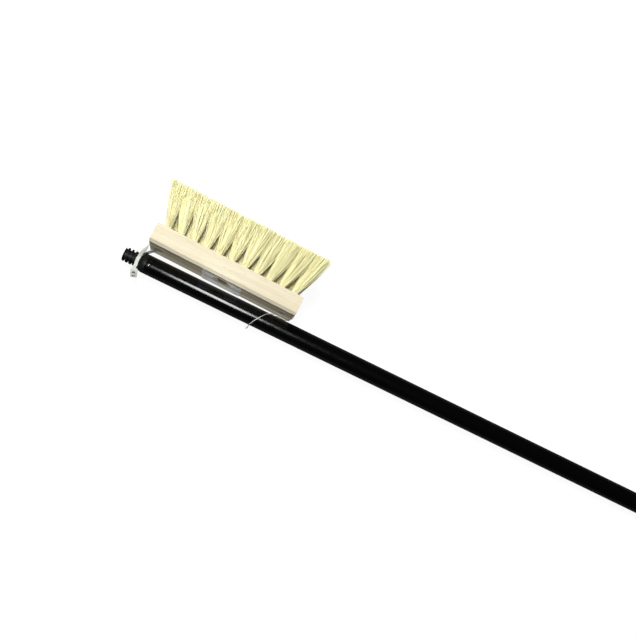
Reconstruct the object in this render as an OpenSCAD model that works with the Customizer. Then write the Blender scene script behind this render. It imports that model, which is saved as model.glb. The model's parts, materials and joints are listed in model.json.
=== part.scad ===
// Pool wall brush: a wooden scrub head with tufts of stiff plant fibre, tied alongside its
// threaded handle for storage. It lies on a floor at z = 0, with the handle along +X, the
// bristles towards +Y and the block standing on one long side. Millimetres.

/* [Block] */
// Length of the wooden block
block_l = 203.2; // [190:0.1:230]
// Thickness of the block, from its back to its bristle face
block_t = 25.4; // [24:0.1:32]
// Width of the block, which stands upright here
block_w = 64; // [60:0.5:76]
// Bevel along the two long edges of the back
back_bevel = 3.5; // [1:0.5:5]
// Bevel along the other edges
edge_bevel = 1; // [0.5:0.1:2]
// Diameter of the hole near each end of the block
end_hole_d = 10; // [9:0.5:12]

/* [Handle socket] */
// How far the handle hole leans from straight out of the back, in degrees
socket_tilt = 30; // [20:1:35]
// Height of the middle of the hole's mouth above the floor
socket_z = 40; // [37:0.5:41]
// Diameter of the mouth of the countersink
mouth_d = 25; // [22:0.5:28]
// Depth of the countersink along the hole
mouth_depth = 3; // [2:0.5:4]
// Length of the hole below the countersink
socket_depth = 12.5; // [10:0.5:13]
// Width of the metal plate round the hole
plate_l = 55; // [46:1:70]
// Height of the metal plate
plate_w = 54; // [50:1:55]
// Thickness of the metal plate
plate_t = 1.2; // [0.8:0.1:1.5]
// Diameter of a plate screw
screw_d = 3; // [2.5:0.1:3.5]
// Length of a plate screw
screw_l = 11; // [6:0.5:12]

/* [Thread] */
// Outside diameter of the handle's thread
thread_d = 19.05; // [18:0.05:19.5]
// Distance from one turn of the thread to the next
thread_pitch = 5.08; // [4.5:0.02:6]
// Depth of the thread
thread_depth = 2.3; // [1.5:0.1:2.5]
// Length of the handle's thread
thread_l = 16.2; // [12:0.1:19]
// Clearance between the handle's thread and its socket
thread_gap = 0.25; // [0.2:0.01:0.3]

/* [Bristles] */
// Length of bristle that stands out of the block
trim_l = 56.5; // [40:0.5:70]
// Diameter of a tuft hole
tuft_d = 8.2; // [6:0.1:8.6]
// Depth of a tuft hole
tuft_depth = 9.5; // [8:0.5:10]
// Distance between tufts along a row
tuft_pitch = 17.5; // [16:0.1:18]
// Distance of the outer rows from the long sides of the block
row_margin = 7; // [6:0.1:8]
// Radius of a tuft at its trimmed tips
tip_r = 8.3; // [5:0.1:8.4]
// Lean of the tufts at the ends of the block, in degrees
end_lean = 15.5; // [4:0.5:17]
// Rise of the top row's tips above its roots
top_rise = 8; // [6:0.5:14]
// Thickness of the flat wire that anchors a tuft
anchor_t = 0.8; // [0.5:0.1:1]
// Height of the anchor wire
anchor_w = 2.2; // [1.5:0.1:2.6]

/* [Handle] */
// Length of the handle, from the front of its thread to the end of its cap
handle_l = 1219; // [700:1:1500]
// Outside diameter of the handle's tube
tube_d = 25.4; // [24:0.1:26]
// Wall of the tube
tube_wall = 2; // [1:0.1:3]
// Wall of the cap on the far end, which also lifts the tube off the floor
cap_wall = 1.5; // [1.5:0.1:3]
// Length of tube that the cap covers
cap_l = 30; // [15:1:60]
// Length of the neck behind the thread
neck_l = 5.8; // [5.6:0.1:8]
// Diameter of the neck
neck_d = 14.4; // [12:0.1:14.6]
// Length of the collar between the neck and the tube
collar_l = 9.2; // [8.5:0.1:12]
// Length of the plug inside the tube
plug_l = 30; // [15:1:60]
// Diameter of the rivet's head
rivet_head_d = 4.6; // [4:0.1:6]
// Diameter of the rivet's shank
rivet_d = 3.2; // [2.4:0.1:3.6]
// Height of the rivet's head
rivet_head_h = 1.1; // [0.8:0.1:1.3]
// Distance of the rivet from the end of the tube
rivet_back = 4; // [3:0.1:12]

/* [Storage] */
// How far the handle is turned, so that its rivet leans away from the block, in degrees
handle_turn = 10; // [0:1:30]
// Distance from the front of the thread to the left end of the block
head_back = 25.5; // [25:0.1:40]
// Distance from the handle's axis to the block's back, at its left end
head_off = 20.1; // [19:0.1:26]
// Turn of the block towards the handle, in degrees
head_turn = 1.1; // [0.6:0.1:1.4]
// Width of the cable tie's strap
tie_w = 4.6; // [3.6:0.1:4.8]
// Thickness of the strap
tie_t = 1.2; // [0.9:0.1:1.3]
// Length of the tie's head
tie_head_l = 11.5; // [9:0.1:11.8]
// Width of the tie's head
tie_head_w = 8.4; // [6.6:0.1:8.6]
// Thickness of the tie's head
tie_head_t = 5.5; // [4.6:0.1:5.7]
// Lean of the tie's head towards the tube, in degrees
tie_lean = 20; // [0:1:24]
// Dip of the tie's head away from the neck, in degrees
tie_dip = 20; // [14:1:21]
// Length of the cut tail past the tie's head
tie_tail = 2.4; // [1:0.1:6]
// Diameter of the tying wire
wire_d = 1.1; // [0.7:0.1:1.1]
// Length of the wire's twisted ends
wire_twist_l = 6; // [5:0.5:14]

/* [Hidden] */
$fn = 64;

seat_gap = 0.05;     // between pieces that sit in or on each other
free_gap = 0.3;      // between pieces that lie loosely beside each other
cut = 1;             // how far a cutting shape runs past a face
rows = 5;
full_row = 11;       // tufts in rows 1, 3 and 5; the rows between them have one fewer
row_pitch = (block_w - 2 * row_margin) / (rows - 1);
tuft_r = tuft_d / 2;
root_r = tuft_r - seat_gap;
low_tip_z = tip_r + free_gap + 0.1;
tip_row_pitch = (block_w - row_margin + top_rise - low_tip_z) / (rows - 1);

tube_r = tube_d / 2;
tube_bore_r = tube_r - tube_wall;
cap_r = tube_r + cap_wall;
neck_r = neck_d / 2;
thread_r = thread_d / 2;
thread_root_r = thread_r - thread_depth;
socket_r = thread_root_r + thread_gap;
groove_r = thread_r + thread_gap;
groove_start = 0.3;   // how far the groove's cutter reaches inside the bore
sink_lip = 0.4;       // the countersink's small end clears the groove by this much
handle_z = cap_r;
collar_x = thread_l + neck_l;
tube_x = collar_x + collar_l;
neck_x = thread_l + neck_l / 2;
collar_front_r = neck_r + 1.4;

tie_head_at = [neck_x + 3.4, -tube_r - 5.4, 6.8];
tie_far_y = tie_head_at[1] - tie_head_l / 2 * cos(tie_lean) - tie_head_w / 2 * sin(tie_lean) - 1;

// The origin is on the floor, under the middle of the whole brush
tip_x = -handle_l / 2;
handle_y = -(head_off + block_t + trim_l + tie_far_y) / 2;
head_x = tip_x + head_back;
head_y = handle_y + head_off;

end_hole_x = block_l / 2 - tuft_pitch * (full_row - 1) / 2;
mid_z = block_w / 2;
mid_x = block_l / 2;

wood = "wheat";
fibre = "khaki";
zinc = "silver";
black = "#18181a";
nylon = "gainsboro";

// ---------- places and routes ----------

// Puts children, drawn from the block's back left lower corner, in place
module in_head() { translate([head_x, head_y, 0]) rotate([0, 0, -head_turn]) children(); }

// Puts children, drawn along +Z from the front of the thread, in place with their -X side up
module in_handle() {
    translate([tip_x, handle_y, handle_z]) rotate([handle_turn, 0, 0]) rotate([0, 90, 0]) children();
}

// Puts children, drawn along +Z out of the handle socket's mouth, in the block
module in_socket() { translate([mid_x, 0, socket_z]) rotate([90 - socket_tilt, 0, 0]) children(); }

// A point given in the block's own directions
function head_pt(x, y, z) = [
    head_x + x * cos(head_turn) + y * sin(head_turn),
    head_y - x * sin(head_turn) + y * cos(head_turn),
    z
];

// A point beside the handle: x from the front of the thread, y from its axis, z above its axis
function handle_pt(x, y, z) = [tip_x + x, handle_y + y, handle_z + z];

// A point round the handle: angle 0 faces the block, 90 is on top
function round_pt(x, angle, r) = handle_pt(x, r * cos(angle), r * sin(angle));

function unit(v) = v / norm(v);
function square_to(v, t) = unit(v - (v * t) * t);
function curve_pt(a, b, c, d, u) =
    0.5 * (2 * b + (c - a) * u + (2 * a - 5 * b + 4 * c - d) * u * u
        + (3 * b - a - 3 * c + d) * u * u * u);
function smooth_route(p, n) = [
    for (i = [0:len(p) - 2], k = [0:n - 1])
        curve_pt(p[max(i - 1, 0)], p[i], p[i + 1], p[min(i + 2, len(p) - 1)], k / n),
    p[len(p) - 1]
];
function tangents(p) = [
    for (i = [0:len(p) - 1]) unit(p[min(i + 1, len(p) - 1)] - p[max(i - 1, 0)])
];
function carried_sides(t, side, i) =
    i >= len(t) ? [] : let (s = square_to(side, t[i])) concat([s], carried_sides(t, s, i + 1));

// Joins rings of m points each, listed anticlockwise about the direction of travel
module skin(rings, m) {
    n = len(rings) - 1;
    sides = [
        for (i = [0:n - 1], k = [0:m - 1]) let (j = (k + 1) % m, a = m * i, b = m * (i + 1))
            each [[a + j, a + k, b + j], [a + k, b + k, b + j]]
    ];
    first = [for (k = [0:m - 1]) k];
    last = [for (k = [0:m - 1]) m * n + m - 1 - k];
    polyhedron(points = [for (r = rings) each r], faces = concat([first, last], sides));
}

module round_wire(p, r, sides_count) {
    t = tangents(p);
    s = carried_sides(t, [0.1, 0.2, 1], 0);
    skin([
        for (i = [0:len(p) - 1]) let (u = cross(t[i], s[i])) [
            for (k = [0:sides_count - 1])
                p[i] + r * (cos(360 * k / sides_count) * s[i] + sin(360 * k / sides_count) * u)
        ]
    ], sides_count);
}

module flat_strap(p, across, w, thick) {
    t = tangents(p);
    skin([
        for (i = [0:len(p) - 1]) let (a = square_to(across[i], t[i]), n = cross(t[i], a)) [
            p[i] + a * w / 2 + n * thick / 2,
            p[i] - a * w / 2 + n * thick / 2,
            p[i] - a * w / 2 - n * thick / 2,
            p[i] + a * w / 2 - n * thick / 2
        ]
    ], 4);
}

// A screw thread's groove or ridge: a bar of trapezoid section wound round the Z axis
module thread_bar(r_in, half_in, r_out, half_out, z_from, z_to) {
    steps = 24;
    n = ceil((z_to - z_from) / thread_pitch * steps);
    skin([
        for (i = [0:n]) let (a = 360 * i / steps, z = z_from + thread_pitch * i / steps)
            [for (c = [[r_in, half_in], [r_out, half_out], [r_out, -half_out], [r_in, -half_in]])
                [c[0] * cos(a), c[0] * sin(a), z + c[1]]]
    ], 4);
}

// ---------- the wooden head ----------

function row_count(row) = row % 2 == 1 ? full_row : full_row - 1;
function row_z(row) = row_margin + (row - 1) * row_pitch;
function tuft_x(row, i) = mid_x + (i - (row_count(row) - 1) / 2) * tuft_pitch;

// The middle row gives up three tufts: one to the handle socket, and one to each end hole
function in_use(row, i) = row != 3 || (i != 0 && i != (full_row - 1) / 2 && i != full_row - 1);

module each_tuft(row) {
    for (i = [0:row_count(row) - 1])
        if (in_use(row, i)) translate([tuft_x(row, i), block_t, row_z(row)]) children();
}

module block_profile() {
    b = back_bevel;
    e = edge_bevel;
    polygon([
        [0, b], [b, 0], [block_t - e, 0], [block_t, e],
        [block_t, block_w - e], [block_t - e, block_w], [b, block_w], [0, block_w - b]
    ]);
}

module bevelled_ends() {
    e = edge_bevel;
    linear_extrude(height = block_w)
        polygon([
            [0, e], [e, 0], [block_l - e, 0], [block_l, e],
            [block_l, block_t - e], [block_l - e, block_t], [e, block_t], [0, block_t - e]
        ]);
}

module screw_places() {
    inset = 5.5;
    for (sx = [-1, 1], sz = [-1, 1])
        translate([mid_x + sx * (plate_l / 2 - inset), 0, mid_z + sz * (plate_w / 2 - inset)])
            rotate([90, 0, 0]) children();
}

module brush_block() {
    color(wood) in_head() difference() {
        intersection() {
            rotate([90, 0, 90]) linear_extrude(height = block_l) block_profile();
            bevelled_ends();
        }
        for (row = [1:rows]) each_tuft(row) {
            rotate([90, 0, 0]) cylinder(d = tuft_d, h = tuft_depth);
            anchor_slot(tuft_depth);
        }
        for (x = [end_hole_x, block_l - end_hole_x])
            translate([x, -cut, mid_z]) rotate([-90, 0, 0]) cylinder(d = end_hole_d, h = block_t + 2 * cut);
        in_socket() {
            translate([0, 0, -mouth_depth - socket_depth])
                cylinder(r = socket_r, h = mouth_depth + socket_depth + cut);
            translate([0, 0, -mouth_depth])
                cylinder(r1 = groove_r + sink_lip, r2 = mouth_d / 2, h = mouth_depth);
            cylinder(d = mouth_d, h = mouth_d / 2);
            socket_thread();
        }
        screw_places() translate([0, 0, -screw_l - 0.5]) cylinder(d = screw_d + 2 * seat_gap, h = screw_l + cut);
    }
}

module socket_thread() {
    intersection() {
        thread_bar(
            socket_r - groove_start, 1.25, groove_r, 0.75,
            -mouth_depth - socket_depth, thread_pitch
        );
        translate([0, 0, -mouth_depth - socket_depth + 2])
            cylinder(d = mouth_d, h = socket_depth + mouth_depth);
    }
}

module anchor_slot(depth) {
    translate([-anchor_t / 2 - seat_gap, -depth, -tuft_r - 1.25])
        cube([anchor_t + 2 * seat_gap, anchor_w + 2 * seat_gap, tuft_d + 2.5]);
}

module tuft_anchors(row) {
    color(zinc) in_head() each_tuft(row)
        translate([-anchor_t / 2, -tuft_depth + seat_gap, -tuft_r - 1.2])
            cube([anchor_t, anchor_w, tuft_d + 2.4]);
}

// A tuft: a round root in its hole, and a cone of bristle that leans outwards and is cut flat
module tuft(lean_x, lean_z) {
    reach = trim_l * 1.2;
    spread = (tip_r - root_r) / trim_l;
    difference() {
        union() {
            rotate([-90, 0, 0]) translate([0, 0, -tuft_depth + seat_gap])
                cylinder(r = root_r, h = tuft_depth + 2);
            intersection() {
                rotate([-90 + lean_z, 0, -lean_x])
                    cylinder(r1 = root_r, r2 = root_r + spread * reach, h = reach);
                translate([-3 * trim_l, free_gap, -3 * trim_l])
                    cube([6 * trim_l, trim_l - free_gap, 6 * trim_l]);
            }
        }
        anchor_slot(tuft_depth);
    }
}

module bristle_row(row) {
    z = row_z(row);
    rise = low_tip_z + (row - 1) * tip_row_pitch - z;
    half_span = tuft_pitch * (full_row - 1) / 2;
    color(fibre) in_head()
        for (i = [0:row_count(row) - 1])
            if (in_use(row, i))
                translate([tuft_x(row, i), block_t, z])
                    tuft(end_lean * (tuft_x(row, i) - mid_x) / half_span, atan(rise / trim_l));
}

module bristle_row_1() { bristle_row(1); }
module bristle_row_2() { bristle_row(2); }
module bristle_row_3() { bristle_row(3); }
module bristle_row_4() { bristle_row(4); }
module bristle_row_5() { bristle_row(5); }
module tuft_anchors_1() { tuft_anchors(1); }
module tuft_anchors_2() { tuft_anchors(2); }
module tuft_anchors_3() { tuft_anchors(3); }
module tuft_anchors_4() { tuft_anchors(4); }
module tuft_anchors_5() { tuft_anchors(5); }

// The plate lies on the block's back, with a round opening over the socket's mouth
module socket_plate() {
    corner = 4;
    color(zinc) in_head() difference() {
        union() {
            translate([mid_x - plate_l / 2, -plate_t, mid_z - plate_w / 2 + corner])
                cube([plate_l, plate_t, plate_w - 2 * corner]);
            translate([mid_x - plate_l / 2 + corner, -plate_t, mid_z - plate_w / 2])
                cube([plate_l - 2 * corner, plate_t, plate_w]);
            for (sx = [-1, 1], sz = [-1, 1])
                translate([mid_x + sx * (plate_l / 2 - corner), 0, mid_z + sz * (plate_w / 2 - corner)])
                    rotate([90, 0, 0]) cylinder(r = corner, h = plate_t);
        }
        in_socket() translate([0, 0, -mouth_d]) cylinder(d = mouth_d + 0.4, h = 2 * mouth_d);
        screw_places() {
            translate([0, 0, -cut]) cylinder(d = screw_d + 2 * seat_gap, h = plate_t + 2 * cut);
            cylinder(d1 = screw_d + 2 * seat_gap, d2 = screw_d + 2 * seat_gap + 2 * plate_t, h = plate_t);
            translate([0, 0, plate_t]) cylinder(d = screw_d + 2 * seat_gap + 2 * plate_t, h = cut);
        }
    }
}

module plate_screws() {
    slot_w = 0.8;
    color(zinc) in_head() screw_places() difference() {
        union() {
            translate([0, 0, -screw_l + 2]) cylinder(d = screw_d, h = screw_l - 2);
            translate([0, 0, -screw_l]) cylinder(d1 = 0.6, d2 = screw_d, h = 2);
            cylinder(d1 = screw_d, d2 = screw_d + 2 * plate_t, h = plate_t);
        }
        translate([-slot_w / 2, -screw_d * 1.2, plate_t - 0.5]) cube([slot_w, screw_d * 2.4, cut]);
    }
}

// ---------- the handle ----------

module handle_tube() {
    l = handle_l - tube_x - cap_wall - seat_gap;
    color(black) in_handle() difference() {
        translate([0, 0, tube_x]) cylinder(r = tube_r, h = l);
        translate([0, 0, tube_x - cut]) cylinder(r = tube_bore_r, h = l + 2 * cut);
        rivet_hole();
    }
}

module rivet_hole() {
    translate([-tube_r / 2, 0, tube_x + rivet_back]) rotate([0, -90, 0])
        cylinder(d = rivet_d + 2 * seat_gap, h = tube_r);
}

// Thread, neck, collar and the plug that goes into the tube
module threaded_tip() {
    lead = 1.2;
    groove = 0.85;
    dome = collar_l - 1.6;
    color(black) in_handle() difference() {
        rotate_extrude() polygon(concat(
            [[0, 0], [thread_r - lead, 0], [thread_r, lead], [thread_r, thread_l - 0.8],
             [thread_r - 0.8, thread_l], [neck_r, thread_l], [neck_r, collar_x]],
            [for (a = [0:15:90])
                [collar_front_r + (tube_r - collar_front_r) * sin(a), collar_x + dome * (1 - cos(a))]],
            [[tube_r, tube_x], [tube_bore_r - seat_gap, tube_x],
             [tube_bore_r - seat_gap, tube_x + plug_l - 1], [tube_bore_r - seat_gap - 1, tube_x + plug_l],
             [0, tube_x + plug_l]]
        ));
        intersection() {
            thread_bar(
                thread_root_r, groove, thread_r + 0.3, groove + 0.75,
                -thread_pitch, thread_l - 1.2 + thread_pitch
            );
            translate([0, 0, -cut]) cylinder(r = thread_r + cut, h = thread_l - 1 + cut);
        }
        rivet_hole();
    }
}

module tip_rivet() {
    depth = tube_r / 2 - 0.3;
    sphere_r = (pow(rivet_head_d / 2, 2) + pow(rivet_head_h, 2)) / (2 * rivet_head_h);
    color(zinc) in_handle() translate([-tube_r, 0, tube_x + rivet_back]) rotate([0, -90, 0]) union() {
        translate([0, 0, -depth]) cylinder(d = rivet_d, h = depth + 0.1);
        intersection() {
            translate([0, 0, rivet_head_h - sphere_r]) sphere(r = sphere_r);
            translate([0, 0, seat_gap]) cylinder(d = 2 * rivet_head_d, h = rivet_head_h);
        }
    }
}

module end_cap() {
    edge = 1.2;
    color(black) in_handle() difference() {
        rotate_extrude() polygon([
            [0, handle_l - cap_l - cap_wall], [cap_r, handle_l - cap_l - cap_wall], [cap_r, handle_l - edge],
            [cap_r - edge, handle_l], [0, handle_l]
        ]);
        translate([0, 0, handle_l - cap_l - cap_wall - cut]) cylinder(r = tube_r + seat_gap, h = cap_l + cut);
    }
}

// ---------- the two ties ----------

wrap_r = tie_t / 2 + free_gap;
hole_side = end_hole_d / 2 - tie_t / 2 - 0.95;
crossways = [1, 0, 0];
upright = [0, 0, 1];
to_cross = unit([-1, 0, 1]);
root_z = tie_head_t / 2 - tie_t / 2 - 0.5;
slot_y = -1.3;
slot_gap = 0.25;

// Puts children in the tie's head: the strap grows from its +Y end, and its tail leaves along +Z
module in_tie() {
    translate(handle_pt(tie_head_at[0], tie_head_at[1], tie_head_at[2]))
        rotate([tie_dip, 0, tie_lean]) children();
}

// A direction given in the tie's head
function tie_dir(v) =
    let (y = v[1] * cos(tie_dip) - v[2] * sin(tie_dip), z = v[1] * sin(tie_dip) + v[2] * cos(tie_dip))
    [v[0] * cos(tie_lean) - y * sin(tie_lean), v[0] * sin(tie_lean) + y * cos(tie_lean), z];

// A point given in the tie's head
function tie_pt(x, y, z) =
    handle_pt(tie_head_at[0], tie_head_at[1], tie_head_at[2]) + tie_dir([x, y, z]);

// The strap leaves the tie's head, goes over the neck, round the block's left end, back through
// the end hole, and under the neck into the head's slot. Each stop: a point and the strap's width.
tie_stops = [
    [tie_pt(0, tie_head_l / 2 - 1.5, root_z), tie_dir(crossways)],
    [tie_pt(0, tie_head_l / 2 + 1, root_z), tie_dir(crossways)],
    [handle_pt(neck_x + 0.9, -8.2, neck_r - 0.2), unit([1, 0.15, 0])],
    [round_pt(neck_x + 0.1, 108, neck_r + wrap_r + 0.2), crossways],
    [round_pt(neck_x, 88, neck_r + wrap_r + 0.3), crossways],
    [round_pt(neck_x + 0.4, 66, neck_r + wrap_r + 1.2), crossways],
    [handle_pt(neck_x + 1.5, head_off * 0.45, neck_r + 4.0), unit([1, -0.25, 0.1])],
    [(handle_pt(neck_x + 2, head_off * 0.55, neck_r + 5) + head_pt(-wrap_r, -3, mid_z)) / 2,
        unit([1, -0.3, 0.5])],
    [head_pt(-wrap_r - 0.1, -1.6, mid_z - 0.6), unit([0.4, 0, 1])],
    [head_pt(-wrap_r - 0.1, 2.5, mid_z), upright],
    [head_pt(-wrap_r - 0.1, block_t / 2, mid_z), upright],
    [head_pt(-wrap_r - 0.1, block_t - 2, mid_z), upright],
    [head_pt(0.6, block_t + wrap_r, mid_z), upright],
    [head_pt(end_hole_x / 2, block_t + wrap_r, mid_z), upright],
    [head_pt(end_hole_x - hole_side - 1.6, block_t + wrap_r, mid_z), upright],
    [head_pt(end_hole_x - hole_side, block_t - 1.2, mid_z), upright],
    [head_pt(end_hole_x - hole_side, block_t / 2, mid_z), upright],
    [head_pt(end_hole_x - hole_side, 1, mid_z), upright],
    [head_pt(end_hole_x - hole_side - 1.5, -2.4, mid_z - 2.5), unit([-0.5, 0, 1])],
    [head_pt(end_hole_x - hole_side - 6, -4.0, mid_z - 10), to_cross],
    [round_pt(collar_x + 4, 4, tube_r + wrap_r + 0.5), unit([-1, 0, 0.5])],
    [round_pt(neck_x + 1.6, -32, tube_r - 0.4), unit([-1, 0, 0.2])],
    [round_pt(neck_x + 0.2, -68, neck_r + wrap_r + 1.2), -crossways],
    [round_pt(neck_x, -100, neck_r + wrap_r + 0.6), -crossways],
    [handle_pt(neck_x + 0.7, -7.5, -neck_r - 1.6), unit([-1, -0.1, 0])],
    [tie_pt(0, slot_y + 2.2, -tie_head_t / 2 - 7.6), -tie_dir(crossways)],
    [tie_pt(0, slot_y + 0.2, -tie_head_t / 2 - 3), -tie_dir(crossways)],
    [tie_pt(0, slot_y, -tie_head_t / 2), -tie_dir(crossways)],
    [tie_pt(0, slot_y, tie_head_t / 2 + tie_tail), -tie_dir(crossways)]
];

module tie_strap() {
    n = 3;
    route = smooth_route([for (s = tie_stops) s[0]], n);
    across = smooth_route([for (s = tie_stops) s[1]], n);
    flat_strap(route, across, tie_w, tie_t);
}

pawl_w = 3.2;
pawl_l = 2.2;
pawl_t = 0.7;
pawl_rest = 20;      // lean of the pawl towards the strap
pocket_floor = 0.6;
pawl_y = slot_y + tie_t / 2 + free_gap + pawl_l * sin(pawl_rest) + pawl_t / 2 + 0.05;
pawl_z = -tie_head_t / 2 + pocket_floor + free_gap + pawl_t / 2;

// The head is a small box with a slot for the strap and a pocket for the pawl
module cable_tie() {
    slot_t = tie_t + 2 * slot_gap;
    pocket_w = pawl_w + 2 * free_gap;
    color(nylon) union() {
        tie_strap();
        in_tie() difference() {
            translate([-tie_head_w / 2, -tie_head_l / 2, -tie_head_t / 2])
                cube([tie_head_w, tie_head_l, tie_head_t]);
            translate([-tie_w / 2 - slot_gap, slot_y - slot_t / 2, -tie_head_t / 2 - cut])
                cube([tie_w + 2 * slot_gap, slot_t, tie_head_t + 2 * cut]);
            translate([-pocket_w / 2, slot_y, -tie_head_t / 2 + pocket_floor])
                cube([pocket_w, pawl_y - slot_y + pawl_t / 2 + free_gap, tie_head_t]);
        }
    }
}

// The pawl is hinged at the foot of its pocket and leans on the strap
module cable_tie_pawl() {
    color(nylon) in_tie() translate([0, pawl_y, pawl_z]) rotate([pawl_rest, 0, 0]) union() {
        rotate([0, 90, 0]) cylinder(d = pawl_t, h = pawl_w, center = true);
        translate([-pawl_w / 2, -pawl_t / 2, 0]) cube([pawl_w, pawl_t, pawl_l]);
    }
}

wire_r = wire_d / 2;
wire_path_r = tube_r + free_gap + wire_r + 0.02;
wire_hole_x = block_l - end_hole_x + end_hole_d / 2 - wire_r - 0.5;
wire_off = wire_r + 0.25;
knot_x = head_back + block_l - 46.5;
knot_y = -wire_path_r - 1;

// One end of the twist: a helix round a line that runs down and away from the handle
function twist_pt(u, phase) = handle_pt(
    knot_x - 0.15 * wire_twist_l * u,
    knot_y - 0.4 - 0.5 * wire_twist_l * u,
    -0.85 * wire_twist_l * u
) + (wire_r + 0.08) * [cos(phase + 540 * u), -0.86 * sin(phase + 540 * u), 0.5 * sin(phase + 540 * u)];

// The wire goes over the tube to the right end hole, through the block, round its right end,
// and back under the tube, and its two ends are twisted together
wire_stops = concat(
    [for (u = [1:-0.125:0]) twist_pt(u, 90)],
    [
        round_pt(knot_x + 0.4, 158, wire_path_r + 0.3),
        round_pt(knot_x + 2.6, 130, wire_path_r),
        round_pt(knot_x + 6.8, 98, wire_path_r),
        round_pt(knot_x + 12, 68, wire_path_r),
        round_pt(knot_x + 15.5, 50, wire_path_r + 0.6),
        (round_pt(knot_x + 15.5, 50, wire_path_r + 1) + head_pt(wire_hole_x - 5, -2, mid_z)) / 2,
        head_pt(wire_hole_x - 3.2, -1.8, mid_z),
        head_pt(wire_hole_x, 1.2, mid_z),
        head_pt(wire_hole_x, block_t / 2, mid_z),
        head_pt(wire_hole_x, block_t - 1, mid_z),
        head_pt(wire_hole_x + 1.6, block_t + wire_off, mid_z),
        head_pt(block_l - 5, block_t + wire_off, mid_z),
        head_pt(block_l - 0.8, block_t + wire_off, mid_z),
        head_pt(block_l + wire_off, block_t - 1.5, mid_z),
        head_pt(block_l + wire_off, block_t / 2, mid_z),
        head_pt(block_l + wire_off, 1.8, mid_z),
        head_pt(block_l - 0.6, -0.9, mid_z - 2),
        round_pt(knot_x + 40, 36, wire_path_r + 0.9),
        round_pt(knot_x + 31, 8, wire_path_r),
        round_pt(knot_x + 24, -20, wire_path_r),
        round_pt(knot_x + 17, -48, wire_path_r),
        round_pt(knot_x + 10, -76, wire_path_r),
        round_pt(knot_x + 5, -105, wire_path_r),
        round_pt(knot_x + 2, -135, wire_path_r),
        round_pt(knot_x + 0.4, -160, wire_path_r + 0.3)
    ],
    [for (u = [0:0.125:1]) twist_pt(u, 270)]
);

module twist_wire() {
    color(zinc) round_wire(smooth_route(wire_stops, 2), wire_r, 8);
}

brush_block();
socket_plate();
plate_screws();
bristle_row_1();
bristle_row_2();
bristle_row_3();
bristle_row_4();
bristle_row_5();
tuft_anchors_1();
tuft_anchors_2();
tuft_anchors_3();
tuft_anchors_4();
tuft_anchors_5();
handle_tube();
threaded_tip();
tip_rivet();
end_cap();
cable_tie();
cable_tie_pawl();
twist_wire();
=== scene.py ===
"""Pool wall brush: a beech block with five rows of palm fibre tufts, lying beside its black tube
handle, with a nylon tie and a twisted wire that hold the two together. Everything is in metres."""
import json
import math
import random

import bmesh
import bpy
from mathutils import Euler, Matrix, Vector


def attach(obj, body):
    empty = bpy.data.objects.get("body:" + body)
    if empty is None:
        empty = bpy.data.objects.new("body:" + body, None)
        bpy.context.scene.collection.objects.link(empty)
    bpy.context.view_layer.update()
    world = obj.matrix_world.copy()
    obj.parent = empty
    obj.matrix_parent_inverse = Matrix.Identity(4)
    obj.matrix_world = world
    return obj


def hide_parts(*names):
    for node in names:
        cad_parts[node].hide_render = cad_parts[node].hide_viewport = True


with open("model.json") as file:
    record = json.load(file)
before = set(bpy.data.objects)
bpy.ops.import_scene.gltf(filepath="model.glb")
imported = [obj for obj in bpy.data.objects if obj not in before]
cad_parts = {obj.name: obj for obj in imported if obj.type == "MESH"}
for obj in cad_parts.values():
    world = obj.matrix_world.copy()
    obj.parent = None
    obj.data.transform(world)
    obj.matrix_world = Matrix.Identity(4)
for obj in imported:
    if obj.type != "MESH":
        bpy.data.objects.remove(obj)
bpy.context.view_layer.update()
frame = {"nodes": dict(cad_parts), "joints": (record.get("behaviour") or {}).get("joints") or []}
nodes = frame["nodes"]
MM = 0.001

# The handle's axis runs along X from the front of its thread, and the block lies beside it
spin_joint = next(j for j in frame["joints"] if j["name"] == "handle_spin")
TIP = Vector(spin_joint["pos_m"])
HANDLE_TURN = math.radians(10)
ON_HANDLE = Matrix.Translation(TIP) @ Matrix.Rotation(HANDLE_TURN, 4, "X")

BLOCK_AT = Vector((TIP.x + 25.5 * MM, TIP.y + 20.1 * MM, 0))
BLOCK_TURN = math.radians(-1.1)
BLOCK_L = 203.2 * MM
BLOCK_T = 25.4 * MM
IN_BLOCK = Matrix.Translation(BLOCK_AT) @ Matrix.Rotation(BLOCK_TURN, 4, "Z")


def into_scene(name, data):
    thing = bpy.data.objects.new(name, data)
    bpy.context.scene.collection.objects.link(thing)
    return thing


# ---------- camera and lights ----------

camera = into_scene("camera", bpy.data.cameras.new("camera"))
camera.data.lens = 44.96
camera.data.sensor_width = 36
camera.location = TIP.x + 0.15906, TIP.y - 0.16997, 1.03702
camera.rotation_euler = Euler([math.radians(a) for a in (7.8821, -9.9169, 24.9444)])
bpy.context.scene.camera = camera
bpy.context.scene.view_settings.view_transform = "Standard"


def soft_box(name, at, aim, sides, watts, unseen_by, shape="RECTANGLE"):
    """A lamp at one place that points at another, both measured from the thread's front."""
    lamp = bpy.data.lights.new(name, "AREA")
    lamp.shape = shape
    lamp.size, lamp.size_y = sides
    lamp.energy = watts
    box = into_scene(name, lamp)
    box.location = TIP + Vector(at)
    box.rotation_euler = (Vector(at) - Vector(aim)).to_track_quat("Z", "X").to_euler()
    for kind in unseen_by:
        setattr(box, "visible_" + kind, False)


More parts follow.
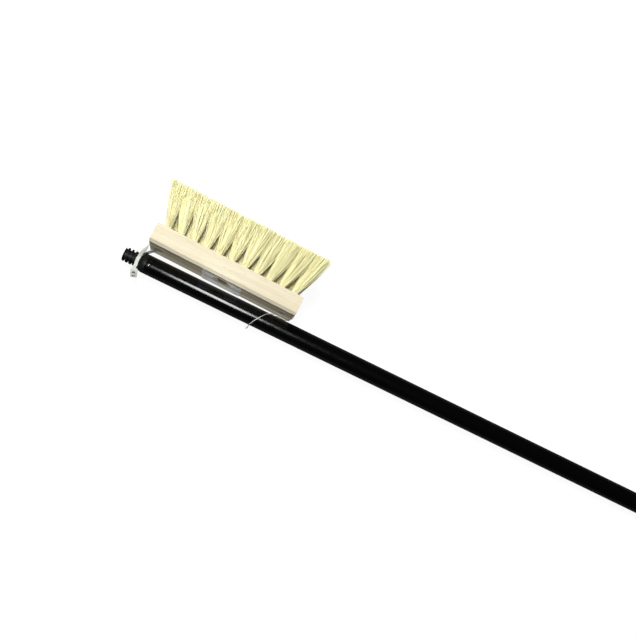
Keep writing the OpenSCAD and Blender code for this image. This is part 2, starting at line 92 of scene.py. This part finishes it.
# The near lamp draws the streak on the tube; the strip and the glow light the block's back
soft_box(
    "near_soft_box", (0.094, -0.138, 1.03), (0.094, 0, 0), (0.48, 0.23), 7.9,
    unseen_by=["diffuse"], shape="ELLIPSE",
)
soft_box(
    "high_soft_box", (-0.3, 0.55, 1.5), (0.12, 0.03, 0), (0.75, 0.75), 45,
    unseen_by=["glossy"],
)
soft_box(
    "bounce_strip", (0.118, 0.0137, 0.002), (0.118, 0.03, 0.002), (0.022, 0.23), 0.0068,
    unseen_by=["glossy", "camera"],
)
soft_box(
    "plate_glow", (0.127, -0.010, 0.051), (0.127, 0.022, 0.034), (0.012, 0.045), 0.0032,
    unseen_by=["glossy", "camera"],
)


# ---------- finishes ----------

class Value:
    """A shader socket that plain arithmetic works on."""

    def __init__(self, finish, socket):
        self.finish = finish
        self.socket = socket

    def _maths(self, kind, *terms):
        terms = dict(enumerate(terms))
        return self.finish.add("ShaderNodeMath", {"operation": kind}, terms)

    def __add__(self, other):
        return self._maths("ADD", self, other)

    def __mul__(self, other):
        return self._maths("MULTIPLY", self, other)

    __radd__ = __add__
    __rmul__ = __mul__


class Finish:
    """A material on a Principled BSDF, with the nodes that vary it."""

    def __init__(self, name, **fixed):
        self.material = bpy.data.materials.new(name)
        self.material.use_nodes = True
        self.tree = self.material.node_tree
        self.surface = self.tree.nodes["Principled BSDF"]
        for socket, value in fixed.items():
            self.surface.inputs[socket.replace("_", " ")].default_value = value

    def add(self, kind, settings, inputs, out=0):
        """One node: its settings, then the values or links of its sockets."""
        made = self.tree.nodes.new(kind)
        for key, value in settings.items():
            setattr(made, key, value)
        for key, value in inputs.items():
            self.feed(made.inputs[key], value)
        return Value(self, made.outputs[out])

    def feed(self, socket, value):
        if isinstance(value, Value):
            self.tree.links.new(value.socket, socket)
        else:
            socket.default_value = value

    def coordinates(self, kind):
        texture_place = self.tree.nodes.new("ShaderNodeTexCoord")
        return Value(self, texture_place.outputs[kind])

    def part_of(self, vector, axis):
        return self.add("ShaderNodeSeparateXYZ", {}, {0: vector}, out=axis)

    def height(self):
        """How high a point stands above the floor, in metres."""
        return self.part_of(self.coordinates("Object"), "Z")

    def facing(self):
        """Minus 1 on a face that looks towards the handle, 0 on a face square to that."""
        return self.part_of(self.coordinates("Normal"), "Y")

    def per_metre(self, counts):
        """Coordinates that a pattern repeats on so many times a metre along X, Y and Z."""
        inputs = {"Vector": self.coordinates("Object"), "Scale": counts}
        return self.add("ShaderNodeMapping", {"vector_type": "POINT"}, inputs)

    def speckle(self, counts, detail=3.0, roughness=0.55, distortion=0.0):
        inputs = {
            "Vector": self.per_metre(counts), "Scale": 1.0, "Detail": detail,
            "Roughness": roughness, "Distortion": distortion,
        }
        return self.add("ShaderNodeTexNoise", {}, inputs)

    def attribute(self, name):
        return self.add("ShaderNodeAttribute", {"attribute_name": name}, {}, out="Fac")

    def band(self, value, low, high, to_low=0.0, to_high=1.0):
        """The value, moved from between low and high to between to_low and to_high."""
        inputs = {"Value": value, 1: low, 2: high, 3: to_low, 4: to_high}
        return self.add("ShaderNodeMapRange", {"clamp": True}, inputs)

    def blend(self, share, one, other):
        """One colour, with a share of the other; a colour is red, green, blue and 1."""
        settings = {"data_type": "RGBA"}
        return self.add("ShaderNodeMix", settings, {0: share, 6: one, 7: other}, out=2)

    def colour(self, value):
        self.feed(self.surface.inputs["Base Color"], value)

    def rough(self, value):
        self.feed(self.surface.inputs["Roughness"], value)

    def bumps(self, height, depth, strength):
        inputs = {"Height": height, "Distance": depth, "Strength": strength}
        normal = self.add("ShaderNodeBump", {}, inputs)
        self.feed(self.surface.inputs["Normal"], normal)


def paint(piece, finish):
    piece.data.materials.clear()
    piece.data.materials.append(finish.material)


def beech_wood():
    """Pale beech, with painted light on its bevels and a band of painted shade along the top of its
    back.
    """
    f = Finish("pale_beech", Specular_IOR_Level=0.3)
    growth = f.speckle((9, 190, 190), 4, 0.6, 0.25)
    pores = f.speckle((60, 900, 900), 2, 0.5)
    patches = f.speckle((14, 30, 30), 2)
    flecks = f.band(f.speckle((260, 1100, 1100), 1), 0.64, 0.72)
    cream = f.blend(f.band(growth, 0.35, 0.7), (0.60, 0.56, 0.42, 1), (0.53, 0.46, 0.32, 1))
    mottled = f.blend(f.band(patches, 0.35, 0.7) * 0.5, cream, (0.58, 0.52, 0.39, 1))
    pored = f.blend(f.band(pores, 0.56, 0.76) * 0.3, mottled, (0.42, 0.33, 0.21, 1))
    flecked = f.blend(flecks * 0.35, pored, (0.37, 0.27, 0.16, 1))
    # Painted light: the bevel faces are made paler, as if more light fell on them.
    bevel = f.band(f.facing(), -0.6, -0.4, 1, 0) * f.band(f.facing(), -0.9, -0.8)
    painted_bevel_light = f.blend(bevel * 0.25, flecked, (0.86, 0.80, 0.64, 1))
    # Painted shade: a dark band on the back face, just under the bevel, where shadow falls.
    back = f.band(f.facing(), -0.97, -0.92, 1, 0)
    painted_shade = back * f.band(f.height(), 45 * MM, 57 * MM)
    f.colour(f.blend(painted_shade * 0.6, painted_bevel_light, (0.12, 0.09, 0.04, 1)))
    f.rough(f.band(growth, 0.3, 0.7, 0.50, 0.66))
    f.bumps(growth * 0.6 + pores * 0.4, 0.12 * MM, 0.6)
    return f


def palm_fibre():
    """Straw-coloured fibre, its tint its own and its foot a little darker."""
    f = Finish("palm_fibre", Specular_IOR_Level=0.45)
    tint = f.attribute("tint")
    strands = f.speckle((500, 90, 500), 2)
    straw = f.blend(tint, (0.78, 0.72, 0.36, 1), (0.93, 0.92, 0.59, 1))
    streaked = f.blend(f.band(strands, 0.55, 0.8) * 0.18, straw, (0.62, 0.54, 0.27, 1))
    root_shade = f.band(f.attribute("along"), 0.0, 0.5, 0.35, 0.0)
    f.colour(f.blend(root_shade, streaked, (0.62, 0.56, 0.32, 1)))
    f.rough(f.band(tint, 0, 1, 0.5, 0.38))
    return f


def zinc_plate():
    """Spangled zinc under a dull film, with painted shade towards the plate's top and along its top
    edge.
    """
    f = Finish("zinc_steel", Specular_IOR_Level=0.5, Metallic=0.05)
    cells = {"Vector": f.per_metre((260, 260, 260)), "Scale": 1.0}
    spangle = f.add("ShaderNodeTexVoronoi", {}, cells, out="Color")
    grey = f.add("ShaderNodeRGBToBW", {}, {0: spangle})
    film = f.speckle((90, 90, 90), 4)
    base = f.blend(grey, (0.80, 0.80, 0.76, 1), (0.92, 0.92, 0.88, 1))
    filmed = f.blend(f.band(film, 0.5, 0.75) * 0.3, base, (0.66, 0.64, 0.58, 1))
    # Painted shade: darker towards the plate's top, in line with the shaded band on the wood.
    painted_top_shade = f.blend(f.band(f.height(), 50 * MM, 59 * MM) * 0.6, filmed, (0.14, 0.11, 0.07, 1))
    # Painted shade: the plate's top edge darkened, so its rim shows no lit line.
    top_edge = f.band(f.height(), 58.8 * MM, 59 * MM)
    f.colour(f.blend(top_edge, painted_top_shade, (0.08, 0.07, 0.05, 1)))
    f.rough(f.band(grey + film * 0.5, 0.3, 1.2, 0.36, 0.56))
    f.bumps(film, 0.05 * MM, 0.4)
    return f


def bright_metal(name, dark, light, rough_low, rough_high, metal=1.0):
    f = Finish(name, Metallic=metal)
    haze = f.speckle((900, 900, 900))
    f.colour(f.blend(haze, dark, light))
    f.rough(f.band(haze, 0.35, 0.7, rough_low, rough_high))
    f.bumps(haze, 0.01 * MM, 0.5)
    return f


def gloss_enamel():
    """Black gloss over a faintly uneven skin, with a few specks of dust."""
    f = Finish("gloss_black_enamel", Specular_IOR_Level=0.36)
    skin = f.speckle((170, 260, 260), 2)
    dust = f.band(f.speckle((1500, 1500, 1500), 1), 0.70, 0.78)
    f.colour(f.blend(dust * 0.1, (0.0012, 0.0012, 0.0014, 1), (0.012, 0.012, 0.013, 1)))
    f.rough(f.band(skin, 0.3, 0.7, 0.14, 0.20))
    f.bumps(skin, 0.02 * MM, 0.35)
    return f


def matt_black(name, colour, pale, rough_low, rough_high, grain):
    f = Finish(name, Specular_IOR_Level=0.28)
    fine = f.speckle((grain, grain, grain))
    wear = f.band(f.speckle((120, 120, 120), 4), 0.55, 0.75)
    f.colour(f.blend(wear * 0.4, colour, pale))
    f.rough(f.band(fine, 0.35, 0.65, rough_low, rough_high))
    f.bumps(fine, 0.04 * MM, 0.5)
    return f


def milky_nylon():
    f = Finish("milky_nylon", Specular_IOR_Level=0.45)
    cloud = f.speckle((220, 220, 220), 2)
    f.colour(f.blend(cloud, (0.39, 0.41, 0.37, 1), (0.50, 0.52, 0.47, 1)))
    f.rough(f.band(cloud, 0.3, 0.7, 0.30, 0.42))
    f.bumps(cloud, 0.03 * MM, 0.3)
    return f


BEECH = beech_wood()
FIBRE = palm_fibre()
ZINC = zinc_plate()
SCREW = bright_metal("screw_zinc", (0.64, 0.64, 0.60, 1), (0.80, 0.80, 0.76, 1), 0.30, 0.44, 0.4)
RIVET = bright_metal("bright_rivet", (0.66, 0.70, 0.76, 1), (0.82, 0.86, 0.92, 1), 0.22, 0.34)
WIRE = bright_metal("dull_steel_wire", (0.66, 0.67, 0.67, 1), (0.84, 0.85, 0.85, 1), 0.38, 0.52, 0.45)
ENAMEL = gloss_enamel()
TIP_PLASTIC = matt_black(
    "black_plastic", (0.006, 0.0065, 0.006, 1), (0.014, 0.015, 0.014, 1), 0.36, 0.5, 1100,
)
CAP_VINYL = matt_black(
    "black_vinyl", (0.012, 0.012, 0.012, 1), (0.022, 0.022, 0.022, 1), 0.48, 0.62, 700,
)
NYLON = milky_nylon()


# ---------- making pieces ----------

MERGE = 0.002 * MM


def new_piece(name, mesh, finish, body, stands_for):
    piece = into_scene(name, mesh)
    paint(piece, finish)
    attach(piece, body)
    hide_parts(stands_for)
    return piece


def smooth_mesh(name, bm, crease_angle=35):
    """The finished mesh, smooth up to an angle in degrees and sharp past it."""
    mesh = bpy.data.meshes.new(name)
    bm.to_mesh(mesh)
    bm.free()
    mesh.shade_smooth()
    mesh.set_sharp_from_angle(angle=math.radians(crease_angle))
    return mesh


def node_copy(node):
    """The node's own shape, with its loose triangles merged."""
    bm = bmesh.new()
    bm.from_mesh(nodes[node].data)
    bmesh.ops.remove_doubles(bm, verts=bm.verts, dist=MERGE)
    return bm


def spun(outline, closed, axis, steps, place):
    """An outline in millimetres, turned right round an axis and put in its place."""
    bm = bmesh.new()
    corners = [bm.verts.new(Vector(p) * MM) for p in outline]
    pairs = list(zip(corners, corners[1:]))
    if closed:
        pairs.append((corners[-1], corners[0]))
    edges = [bm.edges.new(pair) for pair in pairs]
    bmesh.ops.spin(
        bm, geom=corners + edges, cent=(0, 0, 0), axis=axis, angle=math.tau,
        steps=steps, use_merge=True,
    )
    bmesh.ops.remove_doubles(bm, verts=bm.verts, dist=MERGE)
    if closed:
        bmesh.ops.dissolve_degenerate(bm, edges=bm.edges, dist=MERGE / 2)
    bmesh.ops.recalc_face_normals(bm, faces=bm.faces)
    bmesh.ops.transform(bm, matrix=place, verts=bm.verts)
    return bm


def quarter_turn(steps):
    """Angles from 0 to a quarter turn."""
    return [math.pi / 2 * i / steps for i in range(steps + 1)]


# ---------- bristles ----------

ROWS = 5
FULL_ROW = 11
PITCH = 17.5 * MM
ROW_PITCH = 12.5 * MM
FIRST_ROW = 7 * MM
LOW_TIP = 8.7 * MM
TIP_PITCH = 14.075 * MM
TRIM = 56.5 * MM
HOLE_FOOT = BLOCK_T - 1.5 * MM
END_LEAN = 15.5
ROOT_R = 3.95 * MM
SPREAD_X = 12.6 * MM
END_SPREAD = 8.8 * MM
SPREAD_Z = 8.0 * MM
SQUARENESS = 0.7
OPENING = 1.15
LOWEST = 0.35 * MM
HIGHEST = 73.6 * MM
FIBRE_R = 0.265 * MM
FIBRES = 255
POINTS = 5


def tuft_places(row):
    """Where a row's tufts stand along the block, and which end of the row each is on, if any."""
    count = FULL_ROW if row % 2 else FULL_ROW - 1
    left_out = (0, 5, 10) if row == 3 else ()
    for i in range(count):
        if i not in left_out:
            end = -1 if i == 0 else 1 if i == count - 1 else 0
            yield BLOCK_L / 2 + (i - (count - 1) / 2) * PITCH, end


def stray(rng, along, up):
    """A small random shift in the plane of the tuft's face, from spreads in millimetres."""
    return Vector((rng.gauss(0, along), 0, rng.gauss(0, up))) * MM


def fibre_ends(rng, foot, aim, end):
    """A fibre's root in the hole and its trimmed tip, the same way out from the tuft's middle."""
    ring = math.sqrt(rng.random())
    turn = rng.uniform(0, math.tau)
    out = Vector((math.cos(turn), 0, math.sin(turn)))
    wide = max(abs(out.x), abs(out.z)) ** -SQUARENESS
    reach = END_SPREAD if end * out.x > 0 else SPREAD_X * wide
    root = foot + out * ROOT_R * ring
    far = min(1.0, ring + rng.gauss(0, 0.10))
    cut = abs(rng.gauss(0, 0.35)) * MM
    tip = aim + Vector((out.x * far * reach, -cut, out.z * far * SPREAD_Z * wide))
    return root, tip + stray(rng, 0.9, 0.5)


def add_fibre(curve, rng, root, tip, bow):
    """One fibre: close to its neighbours at the root, then spreading, with a slight bow."""
    spline = curve.splines.new("POLY")
    spline.points.add(POINTS - 1)
    for k, point in enumerate(spline.points):
        u = k / (POINTS - 1)
        spot = root.lerp(tip, u)
        spread = root.lerp(tip, 1 - (1 - u) ** OPENING)
        spot.x = spread.x
        spot.z = spread.z
        spot += bow * math.sin(math.pi * u)
        spot.z = max(spot.z, LOWEST)
        point.co = *spot, 1
        point.radius = rng.uniform(0.8, 1.15)


def mesh_from(name, curve):
    maker = into_scene(name, curve)
    shown = maker.evaluated_get(bpy.context.evaluated_depsgraph_get())
    mesh = bpy.data.meshes.new_from_object(shown)
    bpy.data.objects.remove(maker)
    bpy.data.curves.remove(curve)
    mesh.shade_smooth()
    return mesh


def note(mesh, name, values):
    mesh.attributes.new(name, "FLOAT", "POINT").data.foreach_set("value", values)


def bristle_row(row):
    rng = random.Random(40 + row)
    name = "fibre_row_%d" % row
    curve = bpy.data.curves.new(name, "CURVE")
    curve.dimensions = "3D"
    curve.bevel_depth = FIBRE_R
    curve.bevel_resolution = 1
    curve.use_fill_caps = True
    root_z = FIRST_ROW + (row - 1) * ROW_PITCH
    tip_z = LOW_TIP + (row - 1) * TIP_PITCH
    tints = []
    for x, end in tuft_places(row):
        lean = math.tan(math.radians(END_LEAN * (x - BLOCK_L / 2) / (PITCH * 5)))
        tuft_tint = rng.gauss(0, 0.10)
        foot = Vector((x, HOLE_FOOT, root_z))
        aim = Vector((x + lean * TRIM, BLOCK_T + TRIM, tip_z)) + stray(rng, 1.0, 0.6)
        for _ in range(FIBRES):
            root, tip = fibre_ends(rng, foot, aim, end)
            tip.z = min(max(tip.z, LOWEST), HIGHEST)
            add_fibre(curve, rng, root, tip, stray(rng, 0.8, 0.5))
            tints.append(min(1, max(0, 0.55 + tuft_tint + rng.gauss(0, 0.28))))
    mesh = mesh_from(name, curve)
    points_each = len(mesh.vertices) // len(tints)
    note(mesh, "tint", [t for t in tints for _ in range(points_each)])
    note(mesh, "along", [(v.co.y - BLOCK_T) / TRIM for v in mesh.vertices])
    mesh.transform(IN_BLOCK)
    new_piece(name, mesh, FIBRE, "brush_head", "bristle_row_%d" % row)


for row in range(1, ROWS + 1):
    bristle_row(row)


# ---------- handle, in millimetres from the front of its thread ----------

TUBE_R = 12.7
BORE_R = 10.7
TUBE_START = 31.25
TUBE_END = 1217.4
RIVET_AT = 35.2
CAP_END = 1219
CAP_R = 14.2
CAP_BORE_R = 12.75
CAP_L = 31.5
CAP_WALL = 1.5


def handle_tube():
    """The tube's wall, its rims rounded, with a ring near each end to hold the shape."""
    rim = 0.25
    half_rim = 0.08
    outline = [
        (TUBE_START, BORE_R + rim), (TUBE_START, TUBE_R - rim),
        (TUBE_START + half_rim, TUBE_R - half_rim), (TUBE_START + rim, TUBE_R),
        (TUBE_START + 1, TUBE_R), (TUBE_END - 1, TUBE_R),
        (TUBE_END - rim, TUBE_R), (TUBE_END, TUBE_R - rim),
        (TUBE_END, BORE_R), (TUBE_START + rim, BORE_R),
    ]
    tube = spun([(x, 0, r) for x, r in outline], True, (1, 0, 0), 128, ON_HANDLE)
    mesh = smooth_mesh("enamelled_tube", tube)
    new_piece("enamelled_tube", mesh, ENAMEL, "handle", "handle_tube")


def end_cap():
    """A cup over the tube's far end, with a soft lip and a rounded end."""
    mouth = CAP_END - CAP_L
    lip = 0.3
    curve_r = 2
    outline = [
        (mouth, CAP_BORE_R + 0.05), (mouth, CAP_R - lip), (mouth + lip, CAP_R),
        (mouth + 1, CAP_R), (CAP_END - curve_r - 1, CAP_R),
    ]
    outline += [
        (CAP_END - curve_r + curve_r * math.sin(a), CAP_R - curve_r + curve_r * math.cos(a))
        for a in quarter_turn(8)
    ]
    outline += [(CAP_END, 0), (CAP_END - CAP_WALL, 0), (CAP_END - CAP_WALL, CAP_BORE_R)]
    cap = spun([(x, 0, r) for x, r in outline], True, (1, 0, 0), 96, ON_HANDLE)
    mesh = smooth_mesh("vinyl_cap", cap)
    new_piece("vinyl_cap", mesh, CAP_VINYL, "handle", "end_cap")


def rivet():
    """A domed head that sits on the tube, on the shank that goes through its wall."""
    dome = 1.05
    head_r = 2.3
    seat = -0.1
    shank_r = 1.6
    shank_end = -5.9
    ball_r = (head_r ** 2 + dome ** 2) / (2 * dome)
    outline = []
    for a in quarter_turn(10):
        r = head_r * math.sin(a)
        outline.append((r, 0, dome - ball_r + math.sqrt(ball_r ** 2 - r ** 2)))
    outline += [(head_r, 0, seat), (shank_r, 0, seat), (shank_r, 0, shank_end), (0, 0, shank_end)]
    at = Matrix.Translation(Vector((RIVET_AT, 0, TUBE_R)) * MM)
    mesh = smooth_mesh("domed_rivet", spun(outline, False, (0, 0, 1), 48, ON_HANDLE @ at))
    new_piece("domed_rivet", mesh, RIVET, "handle", "tip_rivet")


def moulded_tip():
    """The node's own shape, with its hard edges slightly broken."""
    bm = node_copy("threaded_tip")
    bmesh.ops.dissolve_limit(
        bm, angle_limit=math.radians(0.6), verts=bm.verts, edges=bm.edges, delimit={"SHARP"},
    )
    mesh = smooth_mesh("moulded_tip", bm)
    piece = new_piece("moulded_tip", mesh, TIP_PLASTIC, "handle", "threaded_tip")
    edge = piece.modifiers.new("broken_edges", "BEVEL")
    edge.width = 0.12 * MM
    edge.segments = 2
    edge.limit_method = "ANGLE"
    edge.angle_limit = math.radians(35)
    edge.use_clamp_overlap = True
    edge.harden_normals = True


handle_tube()
end_cap()
rivet()
moulded_tip()


# ---------- what ties the brush to its handle ----------

def drawn_smooth(name, node, finish):
    """The node's own shape, with its straight lengths drawn into curves."""
    bm = node_copy(node)
    bmesh.ops.join_triangles(
        bm, faces=bm.faces, angle_face_threshold=math.radians(40),
        angle_shape_threshold=math.radians(60),
    )
    creases = bm.edges.layers.float.new("crease_edge")
    for edge in bm.edges:
        if edge.is_manifold and edge.calc_face_angle(0) > math.radians(60):
            edge[creases] = 0.85
    mesh = smooth_mesh(name, bm, crease_angle=50)
    piece = new_piece(name, mesh, finish, "brush_head", node)
    rounder = piece.modifiers.new("drawn", "SUBSURF")
    rounder.levels = 2
    rounder.render_levels = 2


drawn_smooth("nylon_strap", "cable_tie", NYLON)
drawn_smooth("twisted_wire", "twist_wire", WIRE)


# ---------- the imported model's own nodes ----------

NODE_FINISHES = {
    "brush_block": BEECH,
    "socket_plate": ZINC,
    "plate_screws": SCREW,
    "cable_tie_pawl": NYLON,
    "cable_tie": NYLON,
    "twist_wire": WIRE,
    "handle_tube": ENAMEL,
    "threaded_tip": TIP_PLASTIC,
    "tip_rivet": RIVET,
    "end_cap": CAP_VINYL,
}
for row in range(1, ROWS + 1):
    NODE_FINISHES["tuft_anchors_%d" % row] = ZINC
    NODE_FINISHES["bristle_row_%d" % row] = FIBRE
for node, finish in NODE_FINISHES.items():
    paint(nodes[node], finish)


# ---------- floor and surroundings ----------

def shader(tree, kind, **sockets):
    made = tree.nodes.new(kind)
    for socket, value in sockets.items():
        made.inputs[socket].default_value = value
    return made.outputs[0]


def grey_paper(tree, shade):
    return shader(tree, "ShaderNodeBsdfDiffuse", Color=(*shade, 1))


def both(tree, one, other):
    made = tree.nodes.new("ShaderNodeAddShader")
    tree.links.new(one, made.inputs[0])
    tree.links.new(other, made.inputs[1])
    return made.outputs[0]


def by_ray(tree, kind, seen, otherwise):
    """One shader for a kind of ray, such as the camera's, and another for the rest."""
    rays = tree.nodes.new("ShaderNodeLightPath")
    pick = tree.nodes.new("ShaderNodeMixShader")
    tree.links.new(rays.outputs[kind], pick.inputs[0])
    tree.links.new(otherwise, pick.inputs[1])
    tree.links.new(seen, pick.inputs[2])
    return pick.outputs[0]


def floor():
    """White paper to the camera, dim in reflections, and a soft grey as a source of light."""
    bm = bmesh.new()
    bmesh.ops.create_grid(bm, x_segments=1, y_segments=1, size=4)
    mesh = bpy.data.meshes.new("floor")
    bm.to_mesh(mesh)
    bm.free()
    plane = into_scene("floor", mesh)
    material = bpy.data.materials.new("white_paper")
    material.use_nodes = True
    tree = material.node_tree
    tree.nodes.clear()
    sheen = shader(tree, "ShaderNodeEmission", Strength=0.15)
    lighting = both(tree, grey_paper(tree, (0.40, 0.40, 0.39)), sheen)
    reflected = grey_paper(tree, (0.08, 0.08, 0.08))
    glow = shader(tree, "ShaderNodeEmission", Strength=0.95)
    white = both(tree, grey_paper(tree, (0.07, 0.07, 0.07)), glow)
    paper = by_ray(tree, "Is Camera Ray", white, by_ray(tree, "Is Glossy Ray", reflected, lighting))
    end = tree.nodes.new("ShaderNodeOutputMaterial")
    tree.links.new(paper, end.inputs["Surface"])
    plane.data.materials.append(material)


def surroundings():
    """White to the camera, nearly dark in reflections, and a low even light on everything."""
    world = bpy.data.worlds.new("studio")
    bpy.context.scene.world = world
    world.use_nodes = True
    tree = world.node_tree
    tree.nodes.clear()
    white, dark, dim = (
        shader(tree, "ShaderNodeBackground", Color=(1, 1, 1, 1), Strength=strength)
        for strength in (1, 0.012, 0.16)
    )
    studio = by_ray(tree, "Is Camera Ray", white, by_ray(tree, "Is Glossy Ray", dark, dim))
    end = tree.nodes.new("ShaderNodeOutputWorld")
    tree.links.new(studio, end.inputs["Surface"])


floor()
surroundings()
